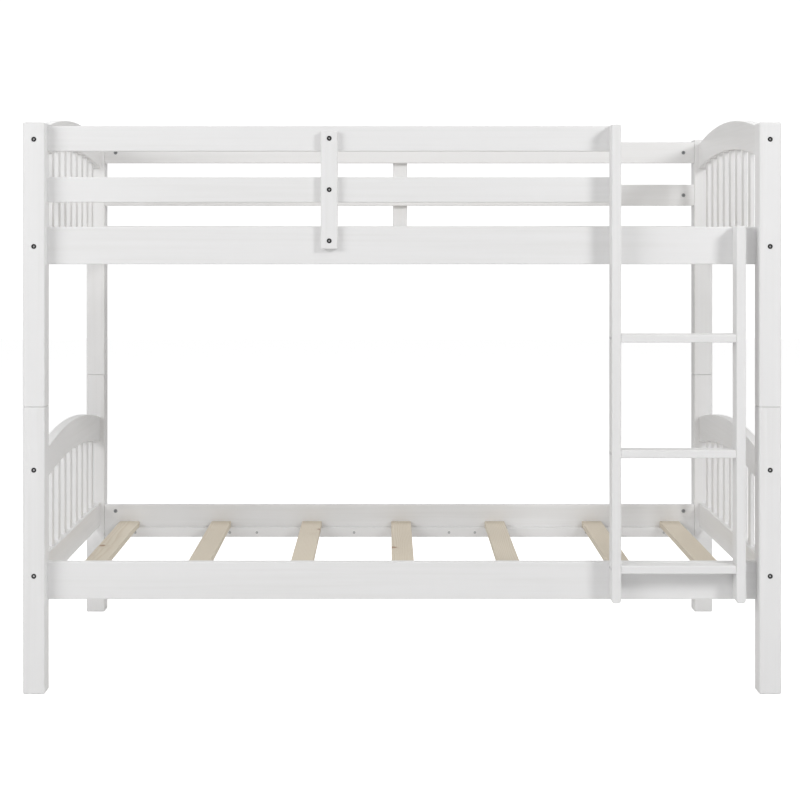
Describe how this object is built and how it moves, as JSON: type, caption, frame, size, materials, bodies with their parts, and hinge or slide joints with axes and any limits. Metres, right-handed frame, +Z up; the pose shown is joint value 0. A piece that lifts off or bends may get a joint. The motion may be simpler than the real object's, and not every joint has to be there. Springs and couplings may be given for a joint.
{
  "type": "bunk bed with ladder",
  "caption": "White painted wooden bunk bed: two single beds stacked on steel pins, with arched end panels, guard rails, pine slats and a fixed upright ladder.",
  "frame": {"origin": "on the floor, at the centre of the whole outline in plan", "axes": "+X along the beds towards the ladder end, -Y towards the ladder side, +Z up"},
  "size_m": [2.045, 1.087, 1.573],
  "materials": {
    "white_paint": "satin white paint on solid wood, eased edges",
    "pine": "bare planed pine",
    "steel": "zinc plated steel"
  },
  "bodies": {
    "lower_bed": {"post_lower_front_left": "white_paint", "post_lower_front_right": "white_paint", "side_rail_lower_front": "white_paint", "ledger_lower_front": "white_paint", "post_lower_back_left": "white_paint", "post_lower_back_right": "white_paint", "side_rail_lower_back": "white_paint", "ledger_lower_back": "white_paint", "arch_rail_lower_left": "white_paint", "spindle_rail_lower_left": "white_paint", "arch_rail_lower_right": "white_paint", "spindle_rail_lower_right": "white_paint", "slat_lower_1": "pine", "slat_lower_2": "pine", "slat_lower_3": "pine", "slat_lower_4": "pine", "slat_lower_5": "pine", "slat_lower_6": "pine", "slat_lower_7": "pine", "pin_front_left": "steel", "pin_front_right": "steel", "pin_back_left": "steel", "pin_back_right": "steel"},
    "upper_bed": {"post_upper_front_left": "white_paint", "post_upper_front_right": "white_paint", "side_rail_upper_front": "white_paint", "ledger_upper_front": "white_paint", "post_upper_back_left": "white_paint", "post_upper_back_right": "white_paint", "side_rail_upper_back": "white_paint", "ledger_upper_back": "white_paint", "arch_rail_upper_left": "white_paint", "spindle_rail_upper_left": "white_paint", "arch_rail_upper_right": "white_paint", "spindle_rail_upper_right": "white_paint", "slat_upper_1": "pine", "slat_upper_2": "pine", "slat_upper_3": "pine", "slat_upper_4": "pine", "slat_upper_5": "pine", "slat_upper_6": "pine", "slat_upper_7": "pine", "guard_mid_front": "white_paint", "guard_top_front": "white_paint", "strap_front": "white_paint", "strap_bolt_front_1": "steel", "strap_bolt_front_2": "steel", "strap_bolt_front_3": "steel", "guard_mid_back": "white_paint", "guard_top_back": "white_paint", "strap_back": "white_paint", "strap_bolt_back_1": "steel", "strap_bolt_back_2": "steel", "strap_bolt_back_3": "steel", "ladder_stile_left": "white_paint", "ladder_stile_right": "white_paint", "ladder_rung_1": "white_paint", "ladder_rung_2": "white_paint", "ladder_rung_3": "white_paint"}
  },
  "joints": [
    {"name": "upper_bed_lift", "type": "slide", "parent": "lower_bed", "child": "upper_bed", "axis": [0, 0, 1], "range_m": [0, 0.05]}
  ]
}
